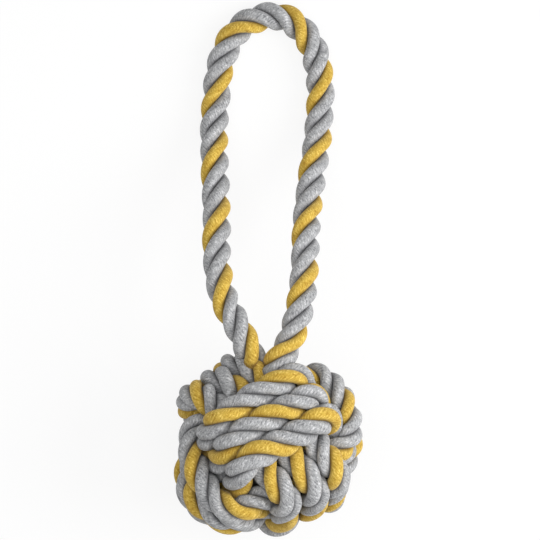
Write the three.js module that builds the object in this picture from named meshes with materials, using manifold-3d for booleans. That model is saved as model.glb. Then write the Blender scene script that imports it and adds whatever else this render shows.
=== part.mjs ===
// Rope dog toy: a monkey's fist of twisted rope with a long loop as its handle, lying on a floor.
// Millimetres, +Z up. The floor is Z = 0, +Y runs from the ball along the handle, and the origin is
// on the floor in the middle of the toy's footprint.
//
// The ball is one rope wound three times round in each of three directions. Each set of turns lies
// over the next set on two faces of the ball and under the third set on two others. A set's turns
// are rounded rectangles, long in the direction where they lie outside and short where they dive.

import * as THREE from 'three';
import { mergeVertices } from 'three/addons/utils/BufferGeometryUtils.js';
import Module from 'manifold-3d';

const wasm = await Module();
wasm.setup();

// Rope and gaps
const ROPE_DIAMETER = 12.7; // lying loose, in the handle
const KNOT_DIAMETER = 12.2; // pulled tight, in the ball
const TURN_GAP = 1.35; // between neighbouring turns of one set
const LAYER_GAP = 0.5; // between rope that crosses over rope
const SEAT_GAP = 0.3; // between pieces that meet face to face
const FLOOR_FLAT = ROPE_DIAMETER / 10; // depth of the flats that the rope rests on

// Ball
const TURNS = 3; // in each of the three directions
const PASS_CROWN = 1.2; // how far the middle turn bulges on the outside of the ball
const BALL_TURN = 37; // degrees, the front passes' slope across the toy
const BALL_TILT = 22; // degrees, the front face leans towards the handle
const STUB_START = 9; // where a hidden rope end lies, from the middle of the face above it

// Handle
const HANDLE_LENGTH = 163.5; // from the neck to the top of the loop, along the rope's middle line
const LOOP_WIDTH = 53.3; // between the middle lines of the two legs where they are furthest apart
const NECK_SPREAD = [-11.7, 10]; // X of the left and the right leg where they leave the ball
const NECK_RISE = 15.4; // height of the neck over the middle of the ball
const NECK_CLEAR = 0.4; // room between the neck's hinge line and the ball's outer passes
const NECK_SINK = 4.75; // how far outside the outer passes the end in the corner hole begins
const FOLD_SHARE = 0.44; // where the loop's fold line lies, as a share of the handle's length
const ARCH_SHARE = 0.83; // where the legs end and the arch begins, as a share of that length
const DESCENT_SHARE = 0.77; // the share over which the legs come down to the floor

// Facets
const TURN_SIDES = 6;
const HANDLE_SIDES = 10;
const CORE_SIDES = 24;
const CORE_BANDS = 16;
const CORNER_STEPS = 4;
const LEG_STEPS = 6;
const ARCH_STEPS = 12;
const CAP_STEPS = 2;
const CURVE_DIVISIONS = 2000;

// Sizes that follow from these
const radius = ROPE_DIAMETER / 2;
const knotRadius = KNOT_DIAMETER / 2;
const spacing = KNOT_DIAMETER + TURN_GAP;
const edge = spacing * (TURNS - 1) / 2; // where the outermost turn of a set lies
const cornerRadius = KNOT_DIAMETER + LAYER_GAP;
const innerReach = edge + KNOT_DIAMETER + LAYER_GAP;
const outerReach = innerReach + cornerRadius;
const longRun = outerReach - cornerRadius;
const shortRun = innerReach - cornerRadius;
const sideSteps = CORNER_STEPS + 2;
const loopSteps = 4 * sideSteps;
const coreRadius = innerReach - knotRadius - SEAT_GAP;
const neckForward = outerReach + knotRadius + radius + NECK_CLEAR;
const foldY = neckForward + FOLD_SHARE * HANDLE_LENGTH;
const archY = neckForward + ARCH_SHARE * HANDLE_LENGTH;
const descent = DESCENT_SHARE * HANDLE_LENGTH;

const ROPE_GREY = new THREE.MeshStandardMaterial({ color: 0xa0a2aa, roughness: 0.95, metalness: 0 });
const CORE_COTTON = new THREE.MeshStandardMaterial({ color: 0xd8d2c4, roughness: 0.95, metalness: 0 });

// The knot's own axes: a along the front passes, b across them, c out of the front face.
const across = new THREE.Vector3(1, 0, 0);
const tilt = THREE.MathUtils.degToRad(BALL_TILT);
const turn = THREE.MathUtils.degToRad(BALL_TURN);
const axisC = new THREE.Vector3(0, Math.sin(tilt), Math.cos(tilt));
const upFace = new THREE.Vector3().crossVectors(axisC, across);
const axisA = across.clone().multiplyScalar(Math.cos(turn)).addScaledVector(upFace, Math.sin(turn));
const axisB = new THREE.Vector3().crossVectors(axisC, axisA);

// Each set of turns: `long` points at the faces where it lies outside, `short` at those where it
// dives under, and `stack` is the direction in which its turns lie side by side.
const firstSet = { long: axisA, short: axisB, stack: axisC };
const secondSet = { long: axisB, short: axisC, stack: axisA };
const thirdSet = { long: axisC, short: axisA, stack: axisB };

function placeIn(set, long, short, stack) {
  return new THREE.Vector3()
    .addScaledVector(set.long, long)
    .addScaledVector(set.short, short)
    .addScaledVector(set.stack, stack);
}

// A station on a turn: each side has its middle and then the points of the corner after it.
function stationPoint(set, station, stack) {
  const index = ((station % loopSteps) + loopSteps) % loopSteps;
  const side = Math.floor(index / sideSteps);
  const step = index % sideSteps;
  if (step === 0) {
    const crown = PASS_CROWN * (1 - Math.abs(stack) / edge);
    const long = [outerReach + crown, 0, -outerReach - crown, 0][side];
    const short = [0, innerReach, 0, -innerReach][side];
    return placeIn(set, long, short, stack);
  }
  const angle = (side + (step - 1) / CORNER_STEPS) * Math.PI / 2;
  const long = [1, -1, -1, 1][side] * longRun + cornerRadius * Math.cos(angle);
  const short = [1, 1, -1, -1][side] * shortRun + cornerRadius * Math.sin(angle);
  return placeIn(set, long, short, stack);
}

// How far a turn has moved over to its neighbour's place, `steps` stations past the middle of the
// dive where it moves. An early move is over by that middle, a late one starts there.
function moveOver(steps, when) {
  const arcStep = cornerRadius * Math.PI / 2 / CORNER_STEPS;
  const halfCorner = arcStep * CORNER_STEPS / 2;
  const reach = { early: longRun + halfCorner, even: 2 * longRun, late: longRun + halfCorner }[when];
  const distance = Math.sign(steps) * (steps === 0 ? 0 : longRun + arcStep * (Math.abs(steps) - 1));
  const start = { early: -reach, even: -longRun, late: 0 }[when];
  return THREE.MathUtils.clamp((distance - start) / reach, 0, 1);
}

// A set's turns as a list of path points, each with the side that its facets turn to. They start at
// the edge of the stack that `stackSide` names and move over by one place at each of the dives.
function turnsPath(set, from, to, dives, when, stackSide) {
  const way = Math.sign(to - from);
  const path = [];
  for (let station = from; station !== to + way; station += way) {
    const moved = dives.reduce((sum, dive) => sum + moveOver((station - dive) * way, when), 0);
    const stack = stackSide * (edge - spacing * moved);
    path.push({ point: stationPoint(set, station, stack), side: set.stack });
  }
  return path;
}

// Where one set of turns ends, the rope goes over the ball's corner, beside the end of that set's
// outer pass, and lies down as the next set's first pass. The factors shape that bend.
const CROSSING_BENDS = [
  { stack: 0, long: 0, rise: 0 },
  { stack: -0.12, long: -0.26, rise: 0.9 },
  { stack: -0.2, long: -0.93, rise: 1.56 },
  { stack: 0.1, long: -1.63, rise: 1.95 },
];

function crossing(set, longSign, shortSign) {
  return CROSSING_BENDS.map((bend) => ({
    point: placeIn(
      set,
      longSign * (outerReach + bend.long * cornerRadius),
      shortSign * (shortRun + bend.rise * cornerRadius),
      -edge + bend.stack * cornerRadius,
    ),
    side: null,
  }));
}

// Stations where the passes have their middles.
const OUTER_MIDDLE = 0;
const DIVE_MIDDLE = sideSteps;
const FAR_MIDDLE = 2 * sideSteps;
const FAR_DIVE_MIDDLE = 3 * sideSteps;

// The station `dive` on each lap on which the rope moves over to the next place.
function moves(dive, firstLap, way) {
  return Array.from({ length: TURNS - 1 }, (_, lap) => dive + way * (firstLap + lap) * loopSteps);
}

function firstTurnsPath() {
  const stub = { point: placeIn(firstSet, -STUB_START, innerReach, edge), side: firstSet.stack };
  const dives = moves(DIVE_MIDDLE, 1, 1);
  const turns = turnsPath(firstSet, DIVE_MIDDLE + 1, TURNS * loopSteps, dives, 'early', 1);
  return [stub, ...turns];
}

function secondTurnsPath() {
  const lead = { point: stationPoint(firstSet, OUTER_MIDDLE, -edge), side: firstSet.stack };
  const dives = moves(FAR_DIVE_MIDDLE, 0, 1);
  const last = FAR_MIDDLE + (TURNS - 1) * loopSteps;
  const turns = turnsPath(secondSet, OUTER_MIDDLE, last, dives, 'even', 1);
  return [lead, ...crossing(firstSet, 1, 1), ...turns];
}

function thirdTurnsPath() {
  const lead = { point: stationPoint(secondSet, FAR_MIDDLE, -edge), side: secondSet.stack };
  const dives = moves(FAR_DIVE_MIDDLE, 1, -1);
  const last = FAR_DIVE_MIDDLE + 1 - TURNS * loopSteps;
  const turns = turnsPath(thirdSet, FAR_MIDDLE, last, dives, 'late', -1);
  const stub = { point: placeIn(thirdSet, STUB_START, -innerReach, edge), side: thirdSet.stack };
  return [lead, ...crossing(secondSet, -1, -1), ...turns, stub];
}

// Draws the end of a path back by `amount`, so that two stretches of rope meet with a gap.
function drawBack(path, atStart, amount) {
  const end = atStart ? path[0] : path.at(-1);
  const next = atStart ? path[1] : path.at(-2);
  const inward = next.point.clone().sub(end.point).setLength(amount);
  end.point = end.point.clone().add(inward);
  return path;
}

// A closed tube along a path. Each ring keeps its facets turned to its path point's side, in the one
// of the section's like positions that twists the tube least. A round end is half a ball.
function ropeTube(path, sides, size, roundStart = false, roundEnd = false) {
  const rings = [];
  const last = path.length - 1;
  let first = null;
  for (let index = 0; index <= last; index += 1) {
    const { point, side } = path[index];
    const before = path[Math.max(index - 1, 0)].point;
    const after = path[Math.min(index + 1, last)].point;
    const inward = point.clone().sub(before).normalize();
    const outward = after.clone().sub(point).normalize();
    const along = path[index].along ?? inward.add(outward).normalize();
    const wanted = side ?? first;
    const sideways = wanted.clone().addScaledVector(along, -wanted.dot(along)).normalize();
    const choices = [];
    for (let choice = 0; choice < sides; choice += 1) {
      const offset = side ? choice + 0.5 : choice;
      choices.push(sideways.clone().applyAxisAngle(along, offset * 2 * Math.PI / sides));
    }
    const reference = first ?? choices[0];
    choices.sort((one, other) => other.dot(reference) - one.dot(reference));
    first = choices[0];
    rings.push({ center: point, along, first, size });
  }
  const capAngles = [];
  for (let step = 1; step <= CAP_STEPS; step += 1) {
    capAngles.push(step / (CAP_STEPS + 1) * Math.PI / 2);
  }
  const capRing = (ring, way, angle) => ({
    ...ring,
    center: ring.center.clone().addScaledVector(ring.along, way * size * Math.sin(angle)),
    size: size * Math.cos(angle),
  });
  const startPole = rings[0].center.clone().addScaledVector(rings[0].along, roundStart ? -size : 0);
  const endPole = rings[last].center.clone().addScaledVector(rings[last].along, roundEnd ? size : 0);
  const startCap = roundStart ? capAngles.map((angle) => capRing(rings[0], -1, angle)).reverse() : [];
  const endCap = roundEnd ? capAngles.map((angle) => capRing(rings[last], 1, angle)) : [];
  const allRings = [...startCap, ...rings, ...endCap];

  const positions = [];
  for (const ring of allRings) {
    for (let corner = 0; corner < sides; corner += 1) {
      const spoke = ring.first.clone().applyAxisAngle(ring.along, corner * 2 * Math.PI / sides);
      positions.push(...ring.center.clone().addScaledVector(spoke, ring.size).toArray());
    }
  }
  const startIndex = allRings.length * sides;
  positions.push(...startPole.toArray(), ...endPole.toArray());
  const triangles = [];
  for (let corner = 0; corner < sides; corner += 1) {
    const next = (corner + 1) % sides;
    for (let ring = 0; ring < allRings.length - 1; ring += 1) {
      const low = ring * sides;
      const high = low + sides;
      triangles.push(low + corner, low + next, high + next, low + corner, high + next, high + corner);
    }
    const top = (allRings.length - 1) * sides;
    triangles.push(startIndex, next, corner, startIndex + 1, top + corner, top + next);
  }
  const geometry = new THREE.BufferGeometry();
  geometry.setAttribute('position', new THREE.Float32BufferAttribute(positions, 3));
  geometry.setIndex(triangles);
  return geometry;
}

// The least gap between stretches of one path that lie more than two diameters apart along it.
function leastGap(path) {
  const POINT_STEP = 2;
  const points = [];
  const places = [];
  let travelled = 0;
  for (let index = 0; index < path.length - 1; index += 1) {
    const from = path[index].point;
    const to = path[index + 1].point;
    const length = from.distanceTo(to);
    const count = Math.ceil(length / POINT_STEP);
    for (let step = 0; step < count; step += 1) {
      points.push(from.clone().lerp(to, step / count));
      places.push(travelled + length * step / count);
    }
    travelled += length;
  }
  let least = Infinity;
  for (let one = 0; one < points.length; one += 1) {
    for (let other = one + 1; other < points.length; other += 1) {
      if (places[other] - places[one] > 2 * KNOT_DIAMETER) {
        least = Math.min(least, points[one].distanceTo(points[other]));
      }
    }
  }
  return least - KNOT_DIAMETER;
}

function toSolid(geometry) {
  const bare = geometry.clone();
  bare.deleteAttribute('normal');
  bare.deleteAttribute('uv');
  const merged = mergeVertices(bare);
  const vertProperties = new Float32Array(merged.attributes.position.array);
  const triVerts = new Uint32Array(merged.index.array);
  return new wasm.Manifold(new wasm.Mesh({ numProp: 3, vertProperties, triVerts }));
}

function toGeometry(solid) {
  const mesh = solid.getMesh();
  const geometry = new THREE.BufferGeometry();
  geometry.setAttribute('position', new THREE.Float32BufferAttribute(mesh.vertProperties, 3));
  geometry.setIndex(Array.from(mesh.triVerts));
  return geometry;
}

// The rope is flat where it rests: everything under the height `floor` is cut away.
function cutAtFloor(geometry, floor) {
  geometry.computeBoundingBox();
  const { min, max } = geometry.boundingBox;
  if (min.z >= floor) {
    return geometry;
  }
  const wide = 2 * ROPE_DIAMETER;
  const depth = floor - min.z + wide;
  const under = new THREE.BoxGeometry(max.x - min.x + wide, max.y - min.y + wide, depth);
  under.translate((min.x + max.x) / 2, (min.y + max.y) / 2, floor - depth / 2);
  return toGeometry(toSolid(geometry).subtract(toSolid(under)));
}

// Ball
const turnPaths = {
  first_turns: drawBack(firstTurnsPath(), false, SEAT_GAP / 2),
  second_turns: drawBack(drawBack(secondTurnsPath(), true, SEAT_GAP / 2), false, SEAT_GAP / 2),
  third_turns: drawBack(thirdTurnsPath(), true, SEAT_GAP / 2),
};
const pieces = {
  core_ball: new THREE.SphereGeometry(coreRadius, CORE_SIDES, CORE_BANDS),
};
for (const [name, path] of Object.entries(turnPaths)) {
  pieces[name] = ropeTube(path, TURN_SIDES, knotRadius);
  console.log(`${name}: least gap to itself ${leastGap(path).toFixed(2)} mm`);
}
let lowest = 0;
for (const geometry of Object.values(pieces)) {
  geometry.computeBoundingBox();
  lowest = Math.min(lowest, geometry.boundingBox.min.z);
}
const floor = lowest + FLOOR_FLAT;

// Handle: the route seen from above, from the left side of the neck round the arch to its right
// side, in shares of the loop's width and of the handle's length from the neck. Heights follow from
// how the legs come down from the neck and lie on the floor.
const LOOP_SHAPE = [
  [-0.272, 0.043], [-0.366, 0.095], [-0.441, 0.163], [-0.478, 0.237], [-0.488, 0.305], [-0.488, 0.379],
  [-0.497, 0.453], [-0.507, 0.521], [-0.512, 0.589], [-0.516, 0.657], [-0.501, 0.731], [-0.477, 0.818],
  [-0.422, 0.885], [-0.328, 0.944], [-0.188, 0.981], [0.019, 1], [0.197, 0.987], [0.319, 0.953],
  [0.413, 0.904], [0.463, 0.842], [0.484, 0.781], [0.478, 0.71], [0.465, 0.645], [0.443, 0.583],
  [0.409, 0.518], [0.381, 0.447], [0.353, 0.376], [0.341, 0.305], [0.334, 0.234], [0.315, 0.163],
  [0.287, 0.108], [0.244, 0.052],
];
const handleRoute = [
  [NECK_SPREAD[0], neckForward],
  ...LOOP_SHAPE.map(([width, length]) => [width * LOOP_WIDTH, neckForward + length * HANDLE_LENGTH]),
  [NECK_SPREAD[1], neckForward],
];
const lyingHeight = floor + radius - FLOOR_FLAT;

function handleHeight(y) {
  const down = THREE.MathUtils.smoothstep(y, neckForward, neckForward + descent);
  return THREE.MathUtils.lerp(NECK_RISE, lyingHeight, down);
}

const handleCurve = new THREE.CatmullRomCurve3(
  handleRoute.map(([x, y]) => new THREE.Vector3(x, y, handleHeight(y))),
  false,
  'centripetal',
);
handleCurve.arcLengthDivisions = CURVE_DIVISIONS;
const ropeLength = handleCurve.getLength();

// The place along the handle, in millimetres from its start, where it crosses `y` on one side.
function handlePlace(y, rightSide) {
  let near = rightSide ? ropeLength : 0;
  let far = ropeLength / 2;
  const HALVINGS = 40;
  for (let halving = 0; halving < HALVINGS; halving += 1) {
    const middle = (near + far) / 2;
    if (handleCurve.getPointAt(middle / ropeLength).y < y) {
      near = middle;
    } else {
      far = middle;
    }
  }
  return near;
}

function handleStretch(from, to, steps) {
  const up = new THREE.Vector3(0, 0, 1);
  const path = [];
  for (let step = 0; step <= steps; step += 1) {
    const place = THREE.MathUtils.lerp(from, to, step / steps);
    const share = place / ropeLength;
    path.push({ point: handleCurve.getPointAt(share), along: handleCurve.getTangentAt(share), side: up });
  }
  return path;
}

const foldLeft = handlePlace(foldY, false);
const foldRight = handlePlace(foldY, true);
const archLeft = handlePlace(archY, false);
const archRight = handlePlace(archY, true);
const hingeRoom = radius + SEAT_GAP;
const halfGap = SEAT_GAP / 2;

const leftLeg = handleStretch(0, foldLeft - hingeRoom, LEG_STEPS);
const leftUpper = handleStretch(foldLeft, archLeft - halfGap, LEG_STEPS);
const loopArch = handleStretch(archLeft + halfGap, archRight - halfGap, ARCH_STEPS);
const rightUpper = handleStretch(archRight + halfGap, foldRight, LEG_STEPS);
const rightLeg = handleStretch(foldRight + hingeRoom, ropeLength, LEG_STEPS);

// A leg is round where it turns in a hinge: at the neck, and at the upper half's end of the fold.
pieces.left_leg = ropeTube(leftLeg, HANDLE_SIDES, radius, true, false);
pieces.left_upper = ropeTube(leftUpper, HANDLE_SIDES, radius, true, false);
pieces.loop_arch = ropeTube(loopArch, HANDLE_SIDES, radius);
pieces.right_upper = ropeTube(rightUpper, HANDLE_SIDES, radius, false, true);
pieces.right_leg = ropeTube(rightLeg, HANDLE_SIDES, radius, false, true);

// The right leg's end goes on into the hole at the corner where the three sets of turns meet.
const cornerHole = placeIn(thirdSet, 1, 1, 1).setLength(outerReach + NECK_SINK);
const rightHinge = new THREE.Vector3(NECK_SPREAD[1], neckForward, NECK_RISE);
const neckLine = rightHinge.clone().sub(cornerHole);
const neckTop = cornerHole.clone().addScaledVector(neckLine, 1 - hingeRoom / neckLine.length());
const neckPath = [cornerHole, neckTop].map((point) => ({ point, side: across }));
pieces.neck_end = ropeTube(neckPath, HANDLE_SIDES, radius);

const toy = new THREE.Group();
const footprint = new THREE.Box3();
for (const [name, geometry] of Object.entries(pieces)) {
  const material = name === 'core_ball' ? CORE_COTTON : ROPE_GREY;
  const mesh = new THREE.Mesh(cutAtFloor(geometry, floor), material);
  mesh.name = name;
  mesh.geometry.computeBoundingBox();
  footprint.union(mesh.geometry.boundingBox);
  toy.add(mesh);
}
const middle = footprint.getCenter(new THREE.Vector3());
toy.position.set(-middle.x, -middle.y, -floor);

const ropeToy = new THREE.Group();
ropeToy.add(toy);

export default ropeToy;
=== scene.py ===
"""Rope dog toy: a monkey's fist of three-strand cotton rope with a long loop as its handle.

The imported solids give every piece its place. Here the rope gets its three strands, two of grey
heather cotton and one of mustard cotton, laid right-handed round the same routes. Routes are worked
out in millimetres from the middle of the ball and go into the meshes in metres.
"""

import bpy
import numpy as np
from mathutils import Matrix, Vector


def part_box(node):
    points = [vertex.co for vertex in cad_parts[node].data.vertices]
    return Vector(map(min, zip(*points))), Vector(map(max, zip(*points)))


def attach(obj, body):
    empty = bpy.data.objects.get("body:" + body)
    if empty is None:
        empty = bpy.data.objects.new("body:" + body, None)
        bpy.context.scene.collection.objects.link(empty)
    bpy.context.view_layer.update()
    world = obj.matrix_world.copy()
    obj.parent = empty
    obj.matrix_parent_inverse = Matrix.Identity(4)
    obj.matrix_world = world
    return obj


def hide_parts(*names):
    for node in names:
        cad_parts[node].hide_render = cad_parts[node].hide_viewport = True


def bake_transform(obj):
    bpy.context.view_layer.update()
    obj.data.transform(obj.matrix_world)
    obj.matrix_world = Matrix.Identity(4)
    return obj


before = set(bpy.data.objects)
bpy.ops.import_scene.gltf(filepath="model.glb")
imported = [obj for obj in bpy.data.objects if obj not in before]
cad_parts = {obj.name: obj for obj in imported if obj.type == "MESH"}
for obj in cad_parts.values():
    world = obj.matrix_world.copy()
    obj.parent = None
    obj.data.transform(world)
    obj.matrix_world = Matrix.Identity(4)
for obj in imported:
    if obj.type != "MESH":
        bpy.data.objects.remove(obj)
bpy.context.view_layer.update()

MM = 0.001
core_low, core_high = (np.array(corner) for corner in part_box("core_ball"))
BALL_MIDDLE = (core_low + core_high) / 2 / MM  # in the row frame, millimetres

# Sizes repeated from the part's source, in millimetres and degrees
ROPE_DIAMETER = 12.7
KNOT_DIAMETER = 12.2
TURN_GAP = 1.35
LAYER_GAP = 0.5
TURNS = 3
PASS_CROWN = 1.2
BALL_TURN = 37
BALL_TILT = 22
STUB_START = 9
HANDLE_LENGTH = 163.5
LOOP_WIDTH = 53.3
NECK_SPREAD = (-11.7, 10)
NECK_RISE = 15.4
NECK_CLEAR = 0.4
FOLD_SHARE = 0.44
DESCENT_SHARE = 0.77
CORNER_STEPS = 4

SPACING = KNOT_DIAMETER + TURN_GAP
EDGE = SPACING * (TURNS - 1) / 2
CORNER = KNOT_DIAMETER + LAYER_GAP
INNER_REACH = EDGE + KNOT_DIAMETER + LAYER_GAP
OUTER_REACH = INNER_REACH + CORNER
LONG_RUN = OUTER_REACH - CORNER
SHORT_RUN = INNER_REACH - CORNER
SIDE_STEPS = CORNER_STEPS + 2
LOOP_STEPS = 4 * SIDE_STEPS
NECK_FORWARD = OUTER_REACH + (KNOT_DIAMETER + ROPE_DIAMETER) / 2 + NECK_CLEAR
FOLD_FORWARD = NECK_FORWARD + FOLD_SHARE * HANDLE_LENGTH

# The rope as it looks: its radius in the handle and in the ball, and its lay
HANDLE_RADIUS = 7.1
BALL_RADIUS = 7.1
BALL_FLATTEN = 0.97  # the ball's rope is pressed a little flat and spreads sideways
BALL_SPREAD = 1.06
LAY_LENGTH = 33.3  # one turn of a strand round the rope
STRANDS = 3
STRAND_OUT = 0.53  # a strand's middle lies this share of the radius from the rope's
STRAND_DEEP = 0.48  # half of a strand's size, out from the rope's middle and round it
STRAND_WIDE = 0.53

# How its surface is worked out, pressed and darkened with painted shade, in millimetres
RING_POINTS = 30  # round one strand
RING_STEP = 1.0  # from ring to ring along the rope
TOUCH_REACH = 2.2  # the painted shade next to another rope starts this far from it
TOUCH_STEP = 2  # every other ring of the ball's rope tells how near it is
OWN_STRETCH = 24  # a rope doesn't paint shade on itself over less than this length
FLOOR_PRESS = 0.9  # how far the loop's own weight presses it flat on the floor
FLOOR_SOFT = 0.4  # how softly the rope's underside turns into that flat
SHORT_SWELL = 0.025  # a strand is thicker and thinner by these shares of its size
SHORT_WAVE = 5.3  # in waves of these lengths for each radian
LONG_SWELL = 0.02
LONG_WAVE = 11.7
BALL_SEED = 3
HANDLE_SEED = 8
STRAND_FINISHES = (1, 0, 0)  # the first strand is mustard and the other two are heather
MAP_OFFSET = 517.0  # the maps of the strands start this far apart
CURVE_SAMPLES = 40  # between two points of a route
BALL_SOFTEN = 2.5  # width of the bell that softens a line
HANDLE_SOFTEN = 1.5
BELL_REACH = 3  # the bell is cut off at this many widths
LAY_BEYOND = 1000  # the lay is kept this far past the first and the last mark


def unit(vectors):
    """Each vector divided by its length."""
    return vectors / np.linalg.norm(vectors, axis=-1, keepdims=True)


def in_row(points):
    """Points in the row frame, in metres."""
    return (points + BALL_MIDDLE) * MM


# The knot's own axes: a along the front passes, b across them, c out of the front face
tilt, turn = np.radians((BALL_TILT, BALL_TURN))
AXIS_C = np.array((0, np.sin(tilt), np.cos(tilt)))
UP_FACE = np.cross(AXIS_C, (1, 0, 0))
AXIS_A = np.cos(turn) * np.array((1, 0, 0)) + np.sin(turn) * UP_FACE
AXIS_B = np.cross(AXIS_C, AXIS_A)

# Each set of turns as rows: long, short, stack
FIRST_SET = np.array((AXIS_A, AXIS_B, AXIS_C))
SECOND_SET = np.array((AXIS_B, AXIS_C, AXIS_A))
THIRD_SET = np.array((AXIS_C, AXIS_A, AXIS_B))


def station_points(axes, stations, stacks):
    """A turn is a rounded rectangle. Each of its sides has its middle and then the points of the
    corner after it, a quarter circle. The middle of an outer side is crowned where the turn lies in
    the middle of its stack."""
    index = np.mod(stations, LOOP_STEPS)
    side = index // SIDE_STEPS
    step = index % SIDE_STEPS
    crown = PASS_CROWN * (1 - np.abs(stacks) / EDGE)
    middle_long = np.array((1, 0, -1, 0))[side] * (OUTER_REACH + crown)
    middle_short = np.array((0, 1, 0, -1))[side] * INNER_REACH
    angle = (side + (step - 1) / CORNER_STEPS) * np.pi / 2
    corner_long = np.array((1, -1, -1, 1))[side] * LONG_RUN + CORNER * np.cos(angle)
    corner_short = np.array((1, 1, -1, -1))[side] * SHORT_RUN + CORNER * np.sin(angle)
    long = np.where(step == 0, middle_long, corner_long)
    short = np.where(step == 0, middle_short, corner_short)
    return np.stack((long, short, stacks), axis=1) @ axes


def moved_over(steps, when):
    """How far a turn has moved to its neighbour's place: a straight ramp over the distance from the
    middle of the dive, which is over by that middle when early and starts there when late. An even
    one lies on both sides of it."""
    arc_step = CORNER * np.pi / 2 / CORNER_STEPS
    half_corner = arc_step * CORNER_STEPS / 2
    reach = 2 * LONG_RUN if when == "even" else LONG_RUN + half_corner
    start = {"early": -reach, "even": -LONG_RUN, "late": 0}[when]
    distance = np.sign(steps) * (LONG_RUN + arc_step * (np.abs(steps) - 1))
    return np.clip((distance - start) / reach, 0, 1)


def turns_points(axes, first, last, dives, when, stack_side):
    """The points of a set's turns from one station to another. The stack starts at its edge and
    moves over by one place at each of the dives."""
    way = int(np.sign(last - first))
    stations = np.arange(first, last + way, way)
    moved = sum(moved_over((stations - dive) * way, when) for dive in dives)
    return station_points(axes, stations, stack_side * (EDGE - SPACING * moved))


# The rope's way over a corner of the ball from one set to the next. Columns: along the stack, along
# the long axis and up the short one, in corner radii.
CROSSING = np.array(((0, 0, 0), (-0.12, -0.26, 0.9), (-0.2, -0.93, 1.56), (0.1, -1.63, 1.95)))


def crossing_points(axes, long_sign, short_sign):
    """Where one set ends the rope goes over the ball's corner, beside that set's outer pass."""
    long = long_sign * (OUTER_REACH + CROSSING[:, 1] * CORNER)
    short = short_sign * (SHORT_RUN + CROSSING[:, 2] * CORNER)
    return np.stack((long, short, -EDGE + CROSSING[:, 0] * CORNER), axis=1) @ axes


def ball_route():
    """The wound rope as one list of points, and the indices at which it starts over to the second and
    to the third set."""
    dive, far, far_dive = SIDE_STEPS, 2 * SIDE_STEPS, 3 * SIDE_STEPS
    laps = np.arange(TURNS - 1)
    first_stub = np.array((-STUB_START, INNER_REACH, EDGE)) @ FIRST_SET
    last_stub = np.array((STUB_START, -INNER_REACH, EDGE)) @ THIRD_SET
    first = turns_points(
        FIRST_SET, dive + 1, TURNS * LOOP_STEPS, dive + (laps + 1) * LOOP_STEPS, "early", 1
    )
    second = turns_points(
        SECOND_SET, 0, far + (TURNS - 1) * LOOP_STEPS, far_dive + laps * LOOP_STEPS, "even", 1
    )
    third = turns_points(
        THIRD_SET, far, far_dive + 1 - TURNS * LOOP_STEPS,
        far_dive - (laps + 1) * LOOP_STEPS, "late", -1,
    )
    parts = (
        first_stub[None], first,
        crossing_points(FIRST_SET, 1, 1), second,
        crossing_points(SECOND_SET, -1, -1), third, last_stub[None],
    )
    second_from = 1 + len(first)
    third_from = second_from + len(CROSSING) + len(second)
    return np.concatenate(parts), (second_from, third_from)


# The knot as hands pulled it tight. Each row is a place along the knot's axes and how far its rope
# lies from the even winding there, to the right and up as seen from above, in millimetres.
PULLS = np.array((
    (-14, 39, 6, -5, -1.5), (0, 39, 6, -6, -2.5), (14, 39, 6, -8.5, -2.5),
    (33, 25, 10, 5, -6.5), (39, 14, -6, 7.5, -3), (39, -2, 0, 4, 0.5), (39, -18, 0, -2.5, 0),
    (14, -39, 4, -2, 0.5), (0, -39, 4, -1.5, 2), (-14, -39, 4, -6, 5),
    (14, -38, -14, -3.5, 1), (0, -38, -14, -3, 4), (-14, -38, -14, -4, 7.5),
    (-14, -35, -27, -3, 6.5),
    (-39, 20, 0, 5, 0), (-39, 2, 14, -2.5, 3), (-39, 6, -7, -5, 0), (-39, -8, -4, -7, 0),
    (-39, -14, -15, -2.5, 2.5), (-33, -24, -14, -1, 5),
    (20, 8, 39, 3, -0.5), (0, 0, 39, 0, 0), (-20, -14, 39, -3, 1), (8, -14, 39, 1, -1.5),
    (0, 0, -39, 0, 0), (20, 0, -39, 0, 0), (-20, 0, -39, 0, 0),
))
PULL_REACH = 13


def settled(points):
    """Points moved to where they lie in the hand-tied knot. Each pull pushes with a bell-shaped
    weight of its distance, and the pushes are solved so that at every place they add up to its row."""
    places = PULLS[:, :3] @ np.array((AXIS_A, AXIS_B, AXIS_C))

    def weight(ones, others):
        """The bell's height at the distance of each of the ones from each of the others."""
        distance = np.linalg.norm(ones[:, None] - others[None], axis=2)
        return np.exp(-0.5 * (distance / PULL_REACH) ** 2)

    pushes = np.linalg.solve(weight(places, places), PULLS[:, 3:])
    moved = weight(points, places) @ pushes
    return points + np.column_stack((moved, np.zeros(len(points))))


# The handle seen from above, from the left side of the neck round the arch to its right side, in
# shares of the loop's width and of the handle's length
LOOP_SHAPE = np.array((
    (-0.272, 0.043), (-0.366, 0.095), (-0.441, 0.163), (-0.478, 0.237), (-0.488, 0.305),
    (-0.488, 0.379), (-0.497, 0.453), (-0.507, 0.521), (-0.512, 0.589), (-0.516, 0.657),
    (-0.501, 0.731), (-0.477, 0.818), (-0.422, 0.885), (-0.328, 0.944), (-0.188, 0.981),
    (0.019, 1), (0.197, 0.987), (0.319, 0.953),
    (0.413, 0.904), (0.463, 0.842), (0.484, 0.781), (0.478, 0.71), (0.465, 0.645), (0.443, 0.583),
    (0.409, 0.518), (0.381, 0.447), (0.353, 0.376), (0.341, 0.305), (0.334, 0.234), (0.315, 0.163),
    (0.287, 0.108), (0.244, 0.052),
))

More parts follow.
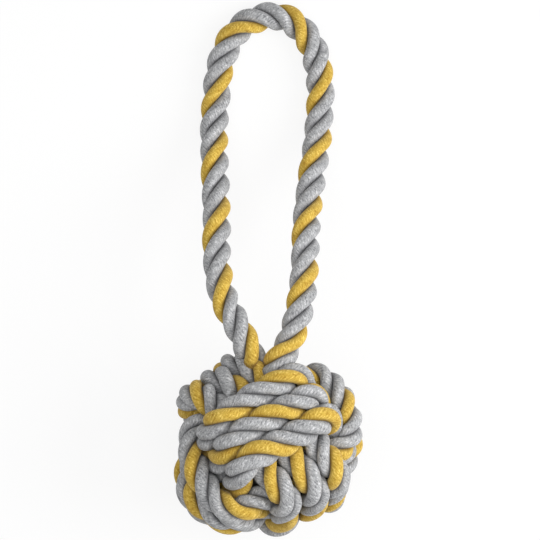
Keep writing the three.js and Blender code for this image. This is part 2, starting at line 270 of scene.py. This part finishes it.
# From the hinge line the legs go on into the corner of the ball where the three sets meet: to the
# right, forward and up from the middle of the ball, in millimetres
LEFT_ROOT = np.array((
    (-6.5, 32, -14), (-6.5, 35.6, -6.5), (-6.8, 39, 1.5), (-7.6, 42.2, 8.6), (-9.2, 46.4, 13.6),
))
RIGHT_ROOT = np.array((
    (7.6, 47.4, 16.5), (4.8, 43.2, 17.6), (2.2, 39.4, 16), (0.8, 35.2, 11), (0.4, 31, 4),
))


def handle_route():
    """The rope from inside the ball up the left leg, round the arch and down the right leg. A leg's
    height falls from the neck to the floor along a smooth step."""
    shape = np.concatenate((
        ((NECK_SPREAD[0], NECK_FORWARD),),
        LOOP_SHAPE * (LOOP_WIDTH, HANDLE_LENGTH) + (0, NECK_FORWARD),
        ((NECK_SPREAD[1], NECK_FORWARD),),
    ))
    share = np.clip((shape[:, 1] - NECK_FORWARD) / (DESCENT_SHARE * HANDLE_LENGTH), 0, 1)
    down = share * share * (3 - 2 * share)
    lying = HANDLE_RADIUS - FLOOR_PRESS - BALL_MIDDLE[2]
    height = NECK_RISE + (lying - NECK_RISE) * down
    legs = np.column_stack((shape, height))
    return np.concatenate((LEFT_ROOT, legs, RIGHT_ROOT))


def smooth_line(points, step, soften):
    """A smooth curve through the points, resampled at even steps. Each stretch blends its four nearest
    points, two by two and three times over, between knots spaced by the root of their distances. The
    line is then averaged along itself with bell-shaped weights, and goes on straight past its ends for
    that."""
    ends = 2 * points[[0, -1]] - points[[1, -2]]
    padded = np.concatenate((ends[:1], points, ends[1:]))
    knots = np.concatenate(((0,), np.cumsum(np.linalg.norm(np.diff(padded, axis=0), axis=1) ** 0.5)))
    k0, k1, k2, k3 = (knots[i:len(knots) - 3 + i, None, None] for i in range(4))
    p0, p1, p2, p3 = (padded[i:len(padded) - 3 + i, None, :] for i in range(4))
    place = k1 + (k2 - k1) * np.linspace(0, 1, CURVE_SAMPLES, endpoint=False)[None, :, None]
    low = ((k1 - place) * p0 + (place - k0) * p1) / (k1 - k0)
    mid = ((k2 - place) * p1 + (place - k1) * p2) / (k2 - k1)
    high = ((k3 - place) * p2 + (place - k2) * p3) / (k3 - k2)
    left = ((k2 - place) * low + (place - k0) * mid) / (k2 - k0)
    right = ((k3 - place) * mid + (place - k1) * high) / (k3 - k1)
    curve = ((k2 - place) * left + (place - k1) * right) / (k2 - k1)
    line = even_steps(np.concatenate((curve.reshape(-1, 3), points[-1:])), step)
    reach = int(BELL_REACH * soften / step)
    weights = np.exp(-0.5 * (np.arange(-reach, reach + 1) * step / soften) ** 2)
    weights /= weights.sum()
    beyond = np.arange(1, reach + 1)[:, None]
    before = line[0] - (line[1] - line[0]) * beyond[::-1]
    after = line[-1] + (line[-1] - line[-2]) * beyond
    long = np.concatenate((before, line, after))
    line = np.stack([np.convolve(column, weights, "valid") for column in long.T], axis=1)
    return even_steps(line, step)


def lengths_along(line):
    """The distance of each point from the start of the line."""
    return np.concatenate(((0,), np.cumsum(np.linalg.norm(np.diff(line, axis=0), axis=1))))


def even_steps(line, step):
    """The same line with its points an even step apart."""
    along = lengths_along(line)
    places = np.linspace(0, along[-1], int(round(along[-1] / step)) + 1)
    return np.stack([np.interp(places, along, column) for column in line.T], axis=1)


def across_frame(line, outward):
    """Two directions across the line at each point: the outward one squared to the line, and the one
    a quarter turn right-handed from it."""
    along = unit(np.gradient(line, axis=0))
    out = unit(outward - along * np.sum(outward * along, axis=1, keepdims=True))
    return out, np.cross(along, out)


def lay_phase(line, out, aside, marks, next_marks=()):
    """The angle of the mustard strand round the rope. At each mark, a distance along the line, it
    faces straight up, where the photograph shows it, and at each of the next marks the strand that
    follows it does. Between marks it makes the number of turns that comes nearest to the rope's lay,
    and beyond them it keeps that lay."""
    along = lengths_along(line)
    followed = np.repeat((0, 1), (len(marks), len(next_marks)))
    marks = np.concatenate((marks, next_marks))
    order = np.argsort(marks)
    marks = marks[order]
    facing = np.unwrap(np.arctan2(aside[:, 2], out[:, 2]))
    facing = np.interp(marks, along, facing) + followed[order] * 2 * np.pi / STRANDS
    rate = 2 * np.pi / LAY_LENGTH
    gained = np.diff(facing)
    wanted = np.diff(marks) * rate
    gained += 2 * np.pi * np.round((wanted - gained) / (2 * np.pi))
    angles = facing[0] + np.concatenate(((0,), np.cumsum(gained)))
    turned = LAY_BEYOND * rate
    places = np.concatenate(((marks[0] - LAY_BEYOND,), marks, (marks[-1] + LAY_BEYOND,)))
    angles = np.concatenate(((angles[0] - turned,), angles, (angles[-1] + turned,)))
    return np.interp(along, places, angles)


def pressed(points):
    """Points of a rope that the floor presses flat. A height over the floor turns into half the sum of
    itself and the root of its square and that of FLOOR_SOFT, which never lies below the floor."""
    height = points[..., 2] + BALL_MIDDLE[2]
    lying = (height + np.hypot(height, FLOOR_SOFT)) / 2 - BALL_MIDDLE[2]
    return np.concatenate((points[..., :2], lying[..., None]), axis=-1)


def rope_surface(line, out, aside, phase, radius, flatten, spread, seed):
    """Three strands laid round a line. A strand's middle goes round the rope at a share of its
    radius, and its section is an oval across that. Slow waves of two lengths make each strand
    a little thicker and thinner, as hand-laid cotton is. The rope is pressed by one factor along the
    outward direction and spread by another across it. Gives points by strand, ring and place, and
    the direction out of the surface at each, square to the steps round the strand and along it."""
    along = lengths_along(line)
    rng = np.random.default_rng(seed)
    strand = np.arange(STRANDS)[:, None]
    wave = rng.uniform(0, 2 * np.pi, (2, STRANDS, 1))
    swell = 1 + SHORT_SWELL * np.sin(along / SHORT_WAVE + wave[0])
    swell = swell + LONG_SWELL * np.sin(along / LONG_WAVE + wave[1])
    angle = phase + strand * 2 * np.pi / STRANDS
    ring = np.arange(RING_POINTS) * 2 * np.pi / RING_POINTS
    deep = STRAND_DEEP * swell[:, :, None] * np.cos(ring)
    wide = STRAND_WIDE * swell[:, :, None] * np.sin(ring)
    cos, sin = np.cos(angle)[:, :, None], np.sin(angle)[:, :, None]
    outwards = radius * flatten * (cos * (STRAND_OUT + deep) - sin * wide)
    sideways = radius * spread * (sin * (STRAND_OUT + deep) + cos * wide)
    offset = outwards[..., None] * out[None, :, None] + sideways[..., None] * aside[None, :, None]
    points = pressed(line[None, :, None] + offset)
    around = np.roll(points, -1, axis=2) - np.roll(points, 1, axis=2)
    return points, unit(np.cross(around, np.gradient(points, axis=1)))


def nearness(points, along, others, others_along, radius):
    """How near each point of a rope's surface is to another stretch of rope: 1 where it is as near to
    that stretch's middle as the radius, falling to 0 at TOUCH_REACH outside it. Stretches of the same
    rope that lie less than OWN_STRETCH along it are not counted."""
    flat = points.reshape(points.shape[0], -1, 3)
    own = np.repeat(along, points.shape[2])
    counted = np.abs(own[:, None] - others_along[None]) > OWN_STRETCH
    others_square = np.sum(others ** 2, axis=1)
    near = []
    for strand in flat:
        square = np.sum(strand ** 2, axis=1)[:, None] + others_square - 2 * strand @ others.T
        smallest = np.where(counted, square, np.inf).min(axis=1)
        near.append(np.sqrt(np.maximum(smallest, 0)))
    gap = np.array(near).reshape(points.shape[:3]) - radius
    return np.clip(1 - gap / TOUCH_REACH, 0, 1)


def cell_corners(grid):
    """The four corners of each cell between two rings and two places of a grid of strands."""
    corners = (grid[:, :-1, :-1], grid[:, :-1, 1:], grid[:, 1:, 1:], grid[:, 1:, :-1])
    return np.stack(corners, axis=3)


def rope_piece(name, stretch, rope):
    """A mesh of closed strands, one stretch of a rope. The map of each face corner gives millimetres
    along the rope, with an offset for each strand, and the share of the way round it. The crease
    attribute rises from 0 on the outside of a strand to 1 on its inside, next to the other strands.
    The touch attribute tells how near the rope is to another stretch. The mesh takes its normals from
    the whole rope, so that no line shows where two stretches meet."""
    points, normals, touch = (rope[key][:, stretch] for key in ("points", "normals", "touch"))
    along = rope["along"][stretch]
    strands, rings, places = points.shape[:3]
    index = np.arange(strands * rings * places).reshape(strands, rings, places)
    around = np.concatenate((index, index[:, :, :1]), axis=2)
    quads = cell_corners(around).reshape(-1, 4).tolist()
    caps = index[:, 0, ::-1].tolist() + index[:, -1].tolist()
    mesh = bpy.data.meshes.new(name)
    mesh.from_pydata(in_row(points.reshape(-1, 3)).tolist(), [], quads + caps)

    offset = np.arange(strands)[:, None, None] * MAP_OFFSET
    share = np.arange(places + 1) / places
    u = np.broadcast_to(along[None, :, None] + offset, (strands, rings, places + 1))
    v = np.broadcast_to(share, (strands, rings, places + 1))
    corners = cell_corners(np.stack((u, v), axis=-1))
    flat = np.concatenate((corners.reshape(-1), np.zeros(len(caps) * places * 2)))
    mesh.uv_layers.new(name="strand_map").data.foreach_set("uv", flat.astype(np.float32))

    # The crease and touch attributes place painted shade: down the sides of each strand, in the creases
    # between strands and where ropes touch
    crease = np.abs(np.mod(share[:-1] * 2 + 1, 2) - 1)
    values = np.broadcast_to(crease, (strands, rings, places)).astype(np.float32)
    mesh.attributes.new("crease", "FLOAT", "POINT").data.foreach_set("value", values.ravel())
    touching = np.ascontiguousarray(touch, np.float32)
    mesh.attributes.new("touch", "FLOAT", "POINT").data.foreach_set("value", touching.ravel())

    tint = np.repeat(STRAND_FINISHES, (rings - 1) * places)
    cap_tint = np.tile(STRAND_FINISHES, 2)
    mesh.polygons.foreach_set("material_index", np.concatenate((tint, cap_tint)).astype(np.int32))
    mesh.polygons.foreach_set("use_smooth", np.ones(len(mesh.polygons), bool))
    for finish in (heather, mustard):
        mesh.materials.append(finish)
    mesh.update()
    mesh.normals_split_custom_set_from_vertices(normals.reshape(-1, 3).tolist())
    piece = bpy.data.objects.new(name, mesh)
    bpy.context.scene.collection.objects.link(piece)
    return piece


class Value:
    """A number in a material. Arithmetic on it adds Math nodes to that material."""

    def __init__(self, finish, socket):
        self.finish = finish
        self.socket = socket

    def math(self, operation, *terms):
        """A Math node of these terms."""
        return self.finish.node("ShaderNodeMath", {"operation": operation}, dict(enumerate(terms)))

    def __add__(self, other):
        return self.math("ADD", self, other)

    def __sub__(self, other):
        return self.math("SUBTRACT", self, other)

    def __rsub__(self, other):
        return self.math("SUBTRACT", other, self)

    def __mul__(self, other):
        return self.math("MULTIPLY", self, other)

    def __truediv__(self, other):
        return self.math("DIVIDE", self, other)

    def __rtruediv__(self, other):
        return self.math("DIVIDE", other, self)

    __radd__ = __add__
    __rmul__ = __mul__

    def cosine(self):
        """The cosine of an angle in radians."""
        return self.math("COSINE", self)

    def ramp(self, low, high):
        """0 below low, 1 above high, and a smooth step between."""
        settings = {"interpolation_type": "SMOOTHSTEP"}
        inputs = {"Value": self, "From Min": low, "From Max": high}
        return self.finish.node("ShaderNodeMapRange", settings, inputs)

    def shade(self, low, high, strength):
        """A ramp that rises to a strength."""
        return self.ramp(low, high) * strength


class Finish:
    """The nodes of a material or of the world."""

    def __init__(self, holder):
        holder.use_nodes = True
        self.holder = holder
        self.tree = holder.node_tree
        self.tree.nodes.clear()

    def node(self, kind, settings=None, inputs=None, output=0):
        """Adds a node, sets its settings, then its sockets, and gives one of its outputs, if any."""
        made = self.tree.nodes.new(kind)
        for key, value in (settings or {}).items():
            setattr(made, key, value)
        for key, value in (inputs or {}).items():
            if isinstance(value, Value):
                self.tree.links.new(value.socket, made.inputs[key])
            else:
                made.inputs[key].default_value = value
        return Value(self, made.outputs[output]) if len(made.outputs) else None

    def mix(self, factor, one, other):
        """A colour between two others. The node's sockets 6 and 7 take them, and output 2 gives it."""
        return self.node("ShaderNodeMix", {"data_type": "RGBA"}, {0: factor, 6: one, 7: other}, 2)

    def noise(self, place, scale, detail, roughness=0.5):
        """Noise at a place, with so many cells to its unit."""
        inputs = {"Vector": place, "Scale": scale, "Detail": detail, "Roughness": roughness}
        return self.node("ShaderNodeTexNoise", None, inputs)

    def mottle(self, x, y, cells, layer=0.0, roughness=0.5):
        """Noise over two lengths, with so many cells a millimetre of each. Layers differ in pattern."""
        inputs = {0: x * cells[0], 1: y * cells[1], 2: layer}
        place = self.node("ShaderNodeCombineXYZ", None, inputs)
        return self.noise(place, scale=1.0, detail=2.0, roughness=roughness)

    def surface(self, **sockets):
        """Ends a material with one shader of these sockets, and gives the material."""
        shader = self.node("ShaderNodeBsdfPrincipled", None, sockets)
        self.node("ShaderNodeOutputMaterial", None, {"Surface": shader})
        return self.holder

    def in_view(self):
        """1 for a ray that the camera, a gloss or a clear surface sends out, 0 for one that lights."""
        seen, glossy, through = (
            self.node("ShaderNodeLightPath", None, None, ray)
            for ray in ("Is Camera Ray", "Is Glossy Ray", "Is Transmission Ray")
        )
        return seen.math("MAXIMUM", seen.math("MAXIMUM", seen, glossy), through)


def linear(red, green, blue):
    """A colour of 0 to 255 steps as the linear values that a shader takes."""
    steps = np.array((red, green, blue)) / 255
    values = np.where(steps <= 0.04045, steps / 12.92, ((steps + 0.055) / 1.055) ** 2.4)
    return (*values.tolist(), 1.0)


STRAND_ROUND = 21  # millimetres round one strand
YARNS = 13  # round one strand
YARN_SLANT = 1.6  # how far a yarn moves round its strand for each millimetre of rope
YARN_STRAY = 2.2  # how far a yarn strays from its line, in yarns
ATTRIBUTE_NUMBER = 2  # the output of an attribute's node that gives a number

# Mottling of the cotton, in cells a millimetre of the two lengths that each runs over
STRAY_CELLS = (0.3, 0.3)
FIBRE_CELLS = (1.3, 0.55)
SPECK_CELLS = (1.6, 1.6)
CLOUD_CELLS = (0.3, 0.22)
LOOSE_CELLS = (1.1, 0.55)

# What fibres, specks, clouds and yarns give to the tone and to the relief
FIBRE_TONE = 0.44
SPECK_TONE = 0.3
CLOUD_TONE = 0.26
YARN_TONE = 0.05
YARN_RISE = 0.3
FIBRE_RISE = 0.9
SPECK_RISE = 0.5

# Tones between which one colour turns into the next
DEEP_TO_BODY = (0.37, 0.5)
BODY_TO_LIGHT = (0.5, 0.63)

# Where a shade starts, where it is full, and how strong it is then. Loose fibres fleck the cotton in
# their own colour; the rim, crease and touch shades are painted shade down the sides of each strand, in
# the creases between strands and where ropes touch.
LOOSE_SHADE = (0.6, 0.7, 0.5)
RIM_SHADE = (0.3, 0.6, 0.35)
CREASE_SHADE = (0.48, 0.7, 0.7)
TOUCH_SHADE = (0.25, 1.0, 0.6)


def spun_cotton(name, gap, deep, body, light, fleck):
    """Spun cotton strand. Yarns run round the strand against the rope's lay, so that they come out
    nearly along the rope. Short fibres of mixed tones lie along the yarns and fleck them. Painted shade
    darkens the sides of each strand towards the deep colour, and darkens the creases between strands
    and the places where ropes touch towards the gap colour. All of it follows the strand's own map."""
    finish = Finish(bpy.data.materials.new(name))
    strand_map = finish.node("ShaderNodeUVMap", {"uv_map": "strand_map"})
    along, share = (
        finish.node("ShaderNodeSeparateXYZ", None, {0: strand_map}, axis) for axis in (0, 1)
    )
    crease, touch = (
        finish.node("ShaderNodeAttribute", {"attribute_name": kind}, None, ATTRIBUTE_NUMBER)
        for kind in ("crease", "touch")
    )
    around = share * STRAND_ROUND
    across = around + along * YARN_SLANT
    stray = (finish.mottle(along, around, STRAY_CELLS) - 0.5) * YARN_STRAY
    ridge = ((across / STRAND_ROUND * YARNS + stray) * (2 * np.pi)).cosine() * 0.5 + 0.5
    fibre = finish.mottle(across, along, FIBRE_CELLS)
    speck = finish.mottle(around, along, SPECK_CELLS, layer=7.0, roughness=0.6)
    cloud = finish.mottle(around, along, CLOUD_CELLS, layer=3.0)
    loose = finish.mottle(across, along, LOOSE_CELLS, layer=21.0)
    tone = fibre * FIBRE_TONE + speck * SPECK_TONE + cloud * CLOUD_TONE + (ridge - 0.5) * YARN_TONE
    colour = finish.mix(tone.ramp(*DEEP_TO_BODY), deep, body)
    colour = finish.mix(tone.ramp(*BODY_TO_LIGHT), colour, light)
    colour = finish.mix(loose.shade(*LOOSE_SHADE), colour, fleck)
    # Painted shade: towards the deep colour down the sides of each strand, and towards the gap colour
    # in the creases between strands and where ropes touch
    colour = finish.mix(crease.shade(*RIM_SHADE), colour, deep)
    colour = finish.mix(crease.shade(*CREASE_SHADE), colour, gap)
    colour = finish.mix(touch.shade(*TOUCH_SHADE), colour, gap)
    height = ridge * YARN_RISE + fibre * FIBRE_RISE + speck * SPECK_RISE
    bump = finish.node(
        "ShaderNodeBump", None, {"Strength": 0.35, "Distance": 0.0004, "Height": height}
    )
    return finish.surface(**{
        "Base Color": colour,
        "Roughness": fibre * 0.12 + 0.84,
        "Normal": bump,
        "Specular IOR Level": 0.18,
        "Sheen Weight": 0.1,
        "Sheen Roughness": 0.6,
    })


FLOOR_GLOW = 0.86  # how much of the floor is plain white to the camera
WORLD_LIGHT = 0.32  # the share of its strength with which the world lights the toy


def floor_finish():
    """A pale floor that the camera sees as white where it is lit, and that keeps the shadow."""
    finish = Finish(bpy.data.materials.new("pale_floor"))
    matt = finish.node("ShaderNodeBsdfDiffuse", None, {"Color": linear(238, 238, 238)})
    glow = finish.node("ShaderNodeEmission", None, {"Color": (1, 1, 1, 1), "Strength": 1.0})
    shown = finish.in_view() * FLOOR_GLOW
    surface = finish.node("ShaderNodeMixShader", None, {0: shown, 1: matt, 2: glow})
    finish.node("ShaderNodeOutputMaterial", None, {"Surface": surface})
    return finish.holder


def studio_world(light):
    """Plain white all round, which lights the toy with part of its strength and shows in full."""
    finish = Finish(bpy.data.worlds.new("studio"))
    strength = finish.in_view() * (1 - light) + light
    shine = finish.node("ShaderNodeBackground", None, {"Color": (1, 1, 1, 1), "Strength": strength})
    finish.node("ShaderNodeOutputWorld", None, {"Surface": shine})
    return finish.holder


# Camera: straight above, with a long lens. The photograph's frame is 270 mm wide at the toy.
FRAME_WIDTH = 0.27
LENS = 600
SENSOR = 36
VIEW_HEIGHT = 0.015  # the height above the floor at which the frame has that width
VIEW_MIDDLE = (0.0005, 0.002)
VIEW_DEPTH = 20
camera_data = bpy.data.cameras.new("camera")
camera_data.lens = LENS
camera_data.sensor_width = SENSOR
camera_data.clip_end = VIEW_DEPTH
camera = bpy.data.objects.new("camera", camera_data)
camera.location = (*VIEW_MIDDLE, VIEW_HEIGHT + FRAME_WIDTH * LENS / SENSOR)
bpy.context.scene.collection.objects.link(camera)
bpy.context.scene.camera = camera

# Each gap colour is painted shade for the creases between strands and where ropes touch; the deep
# colour also paints the shade down each strand's sides
heather = spun_cotton(
    "heather_cotton", gap=linear(52, 52, 54), deep=linear(116, 116, 119), body=linear(159, 160, 161),
    light=linear(205, 205, 207), fleck=linear(104, 104, 109),
)
mustard = spun_cotton(
    "mustard_cotton", gap=linear(84, 58, 16), deep=linear(162, 125, 40), body=linear(193, 160, 65),
    light=linear(230, 200, 104), fleck=linear(174, 130, 42),
)

# The ball's rope
route, set_starts = ball_route()
route = settled(route)
ball_line = smooth_line(route, RING_STEP, soften=BALL_SOFTEN)
ball_out, ball_aside = across_frame(ball_line, ball_line)
ball_along = lengths_along(ball_line)


def pass_marks(rows):
    """Distances along the ball's rope of the places where the mustard strand faces up. A row names
    a set, the side of its long axis, the place in its stack, and the distance from the middle of
    that outer pass along its short axis, in millimetres."""
    found = []
    for axes, side, place, distance in rows:
        middle = settled(np.array(((side * OUTER_REACH, 0, place * EDGE),)) @ axes)
        nearest = np.argmin(np.linalg.norm(ball_line - middle, axis=1))
        heading = np.sign((ball_line[nearest + 1] - ball_line[nearest - 1]) @ axes[1])
        found.append(ball_along[nearest] + heading * distance)
    return found


MUSTARD_ON_BALL = (
    (THIRD_SET, 1, 1, -15.4), (THIRD_SET, 1, 1, 21.6),
    (THIRD_SET, 1, 0, -30.0), (THIRD_SET, 1, 0, 6.5),
    (THIRD_SET, 1, -1, -47.0), (THIRD_SET, 1, -1, -8.8), (THIRD_SET, 1, -1, 25.5),
    (FIRST_SET, -1, 1, 8.8), (FIRST_SET, -1, 1, -26.7), (FIRST_SET, -1, -1, -8.6),
    (FIRST_SET, 1, 1, -12.4), (FIRST_SET, 1, 1, -38.0),
    (FIRST_SET, 1, 0, -24.0), (FIRST_SET, 1, -1, -24.0),
    (SECOND_SET, -1, -1, 34.0), (SECOND_SET, -1, -1, -24.5),
    (SECOND_SET, -1, 0, 33.5), (SECOND_SET, -1, 0, -26.3),
    (SECOND_SET, -1, 1, 21.5), (SECOND_SET, -1, 1, -24.0),
    (SECOND_SET, 1, -1, 5.0), (SECOND_SET, 1, 0, 13.0), (SECOND_SET, 1, 1, 14.0),
)
# Places where the strand that follows the mustard one faces up
NEXT_ON_BALL = ((SECOND_SET, -1, -1, 21.0), (SECOND_SET, -1, 0, 21.0))
ball_phase = lay_phase(
    ball_line, ball_out, ball_aside, pass_marks(MUSTARD_ON_BALL), pass_marks(NEXT_ON_BALL)
)
ball_points, ball_normals = rope_surface(
    ball_line, ball_out, ball_aside, ball_phase,
    BALL_RADIUS, flatten=BALL_FLATTEN, spread=BALL_SPREAD, seed=BALL_SEED,
)
# How near the ball's rope lies to its other stretches, for the painted shade where ropes touch
near_line = ball_line[::TOUCH_STEP]
near_along = ball_along[::TOUCH_STEP]
ball_touch = nearness(ball_points, ball_along, near_line, near_along, BALL_RADIUS)
ball_rope = {
    "points": ball_points, "normals": ball_normals, "touch": ball_touch, "along": ball_along,
}
cuts = [int(np.argmin(np.linalg.norm(ball_line - route[start], axis=1))) for start in set_starts]
bounds = (0, *cuts, len(ball_line) - 1)
for order, node in enumerate(("first_turns", "second_turns", "third_turns")):
    piece = rope_piece(f"rope_{node}", slice(bounds[order], bounds[order + 1] + 1), ball_rope)
    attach(piece, "ball")
    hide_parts(node)

# The handle's rope, in three pieces: a leg at each side of the neck and the loop between them
handle_line = smooth_line(handle_route(), RING_STEP, soften=HANDLE_SOFTEN)
handle_out, handle_aside = across_frame(handle_line, np.array((0, 0, 1.0)))
handle_along = lengths_along(handle_line)
MUSTARD_ON_HANDLE = np.array((
    (-7, 48), (-21.5, 77), (-26, 110.5), (-26.7, 144.5), (-26, 177.5), (-13, 208.5), (15.75, 208.5),
    (26, 179), (23.8, 145.5), (19, 112), (17, 79.5), (10, 48.5),
))  # seen from above, millimetres from the middle of the ball
from_marks = np.linalg.norm(handle_line[None, :, :2] - MUSTARD_ON_HANDLE[:, None], axis=2)
handle_marks = handle_along[np.argmin(from_marks, axis=1)]
handle_phase = lay_phase(handle_line, handle_out, handle_aside, handle_marks)
handle_points, handle_normals = rope_surface(
    handle_line, handle_out, handle_aside, handle_phase,
    HANDLE_RADIUS, flatten=1.0, spread=1.0, seed=HANDLE_SEED,
)

NOT_OWN = 1e4  # added to the ball's distances, because the handle's rope is another stretch
# The same for the handle next to the ball's rope, for its painted shade there
handle_touch = nearness(
    handle_points, handle_along, near_line, near_along + NOT_OWN, BALL_RADIUS
)
handle_rope = {
    "points": handle_points, "normals": handle_normals, "touch": handle_touch, "along": handle_along,
}

# Spans in rings of about a millimetre: to each side of the fold, and from the neck into the ball and up
# the leg
FOLD_BEND = 20
NECK_BEND = (14, 28)
SPLIT_CLEAR = 1
SPLIT_FORWARD = FOLD_FORWARD - FOLD_BEND - SPLIT_CLEAR  # the legs end here, before the fold
LEFT_EXIT = 12  # the ring at which the left leg comes out between the turns
top = int(np.argmax(handle_line[:, 1]))


def left_at(forward):
    """The ring of the left leg that lies this far forward of the ball's middle."""
    return int(np.argmin(np.abs(handle_line[:top, 1] - forward)))


def right_at(forward):
    """The same on the right leg."""
    return top + int(np.argmin(np.abs(handle_line[top:, 1] - forward)))


left_cut, right_cut = left_at(SPLIT_FORWARD), right_at(SPLIT_FORWARD)
left_neck, right_neck = left_at(NECK_FORWARD), right_at(NECK_FORWARD)
fold = left_at(FOLD_FORWARD)


def handle_piece(name, first, last, nodes, bend, exit_at):
    """One stretch of the handle's rope, with its place baked into its mesh and the solids that it
    stands for hidden.
    """
    stretch = slice(first, last + 1)
    piece = rope_piece(name, stretch, handle_rope)
    start, end = in_row(handle_line[list(bend)] * (0, 1, 1)).tolist()
    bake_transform(piece)
    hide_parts(*nodes)
    in_row(handle_line[exit_at]).tolist()
    in_row(handle_line[stretch]).tolist()


handle_piece(
    "rope_left_leg", 0, left_cut, ("left_leg",),
    (left_neck - NECK_BEND[0], left_neck + NECK_BEND[1]), LEFT_EXIT,
)
handle_piece(
    "rope_loop", left_cut, right_cut, ("left_upper", "loop_arch", "right_upper"),
    (fold - FOLD_BEND, fold + FOLD_BEND), left_cut,
)
handle_piece(
    "rope_right_leg", right_cut, len(handle_line) - 1, ("right_leg", "neck_end"),
    (right_neck + NECK_BEND[0], right_neck - NECK_BEND[1]), right_cut,
)


CORE_COLUMNS = 96
CORE_ROWS = 49  # with both poles, which caps close
CORE_FILL = 0.97  # the core's size as a share of its solid's
CORE_LUMP = 0.02  # how far its lumps stand out, as such a share
CORE_POWER = 16  # the higher, the nearer to a cube
LUMPS_AROUND = (9, 4, 3)  # waves round the core, and how far and how often they stray
LUMPS_DOWN = (8, 2, 2)  # the same from its top to its bottom


def core_piece():
    """The cotton wad in the middle of the knot. It fills the hollow that the turns leave, a cube with
    soft corners: the radius is the one at which the sum of the coordinates along the knot's axes, each
    raised to CORE_POWER, is constant. Crossing waves make it lumpy."""
    around = np.linspace(0, 2 * np.pi, CORE_COLUMNS, endpoint=False)
    height = np.linspace(0, np.pi, CORE_ROWS)[1:-1, None]
    ways = np.stack(np.broadcast_arrays(
        np.sin(height) * np.cos(around), np.sin(height) * np.sin(around), np.cos(height),
    ), axis=-1)
    radius = (core_high[0] - core_low[0]) / 2 / MM
    waves, far, often = LUMPS_AROUND
    lumps = np.sin(waves * around + far * np.sin(often * height))
    waves, far, often = LUMPS_DOWN
    lumps = lumps * np.sin(waves * height + far * np.cos(often * around))
    cube = np.sum(np.abs(ways) ** CORE_POWER, axis=-1) ** (1 / CORE_POWER)
    size = radius * (CORE_FILL + CORE_LUMP * lumps) / cube
    shell = size[..., None] * ways @ np.array((AXIS_A, AXIS_B, AXIS_C))
    rows, columns = shell.shape[:2]
    index = np.arange(rows * columns).reshape(rows, columns)
    loop = np.concatenate((index, index[:, :1]), axis=1)
    corners = (loop[:-1, :-1], loop[1:, :-1], loop[1:, 1:], loop[:-1, 1:])
    quads = np.stack(corners, axis=-1).reshape(-1, 4)
    mesh = bpy.data.meshes.new("cotton_core")
    caps = [index[0].tolist(), index[-1, ::-1].tolist()]
    mesh.from_pydata(in_row(shell.reshape(-1, 3)).tolist(), [], quads.tolist() + caps)
    mesh.polygons.foreach_set("use_smooth", np.ones(len(mesh.polygons), bool))
    mesh.update()
    piece = bpy.data.objects.new("cotton_core", mesh)
    bpy.context.scene.collection.objects.link(piece)
    return piece


WAD_FIBRES = 0.6  # what the fibres give to the tone, beside the lumps


def wad_finish():
    """Cotton wadding, undyed and pale in the real toy, here in darker mottled greys as painted shade in
    the knot's hollow, with soft fibres and small lumps.
    """
    finish = Finish(bpy.data.materials.new("undyed_wadding"))
    place = finish.node("ShaderNodeTexCoord", None, None, "Object")
    fibres = finish.noise(place, scale=900.0, detail=4.0, roughness=0.65)
    lumps = finish.noise(place, scale=160.0, detail=2.0)
    tone = fibres * WAD_FIBRES + lumps * (1 - WAD_FIBRES)
    # Darker greys than undyed cotton: painted shade in the hollow of the knot
    colour = finish.mix(tone.ramp(0.35, 0.65), linear(92, 90, 86), linear(190, 187, 181))
    bump = finish.node(
        "ShaderNodeBump", None, {"Strength": 0.8, "Distance": 0.001, "Height": fibres + lumps}
    )
    return finish.surface(**{
        "Base Color": colour,
        "Roughness": 0.95,
        "Normal": bump,
        "Sheen Weight": 0.15,
    })


core = core_piece()
core.data.materials.append(wad_finish())
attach(core, "ball")
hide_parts("core_ball")

# Floor and light
FLOOR_SIZE = 12
floor_mesh = bpy.data.meshes.new("floor")
half = FLOOR_SIZE / 2
floor_corners = [(-half, -half, 0), (half, -half, 0), (half, half, 0), (-half, half, 0)]
floor_mesh.from_pydata(floor_corners, [], [(0, 1, 2, 3)])
floor_mesh.materials.append(floor_finish())
floor = bpy.data.objects.new("floor", floor_mesh)
bpy.context.scene.collection.objects.link(floor)


def softbox(name, place, aim, size, power):
    """A square lamp at a place that looks at a point. Its axes are the way back from that point, the
    way across that and a forward line that is tipped up a little, and the way across both."""
    data = bpy.data.lights.new(name, "AREA")
    data.shape = "SQUARE"
    data.size = size
    data.energy = power
    lamp = bpy.data.objects.new(name, data)
    back = unit(np.array(place, float) - np.array(aim, float))
    side = unit(np.cross((0, 1, 0.01), back))
    turned = np.eye(4)
    turned[:3] = np.column_stack((side, np.cross(back, side), back, place))
    lamp.matrix_world = Matrix(turned.tolist())
    lamp.visible_camera = False
    bpy.context.scene.collection.objects.link(lamp)


softbox("key", place=(1.05, -0.05, 0.8), aim=(0, -0.05, 0.03), size=0.9, power=15.5)
softbox("fill", place=(-0.05, -0.07, 0.95), aim=(0, -0.07, 0.03), size=1.0, power=5.8)

bpy.context.scene.world = studio_world(WORLD_LIGHT)
bpy.context.scene.view_settings.view_transform = "Standard"
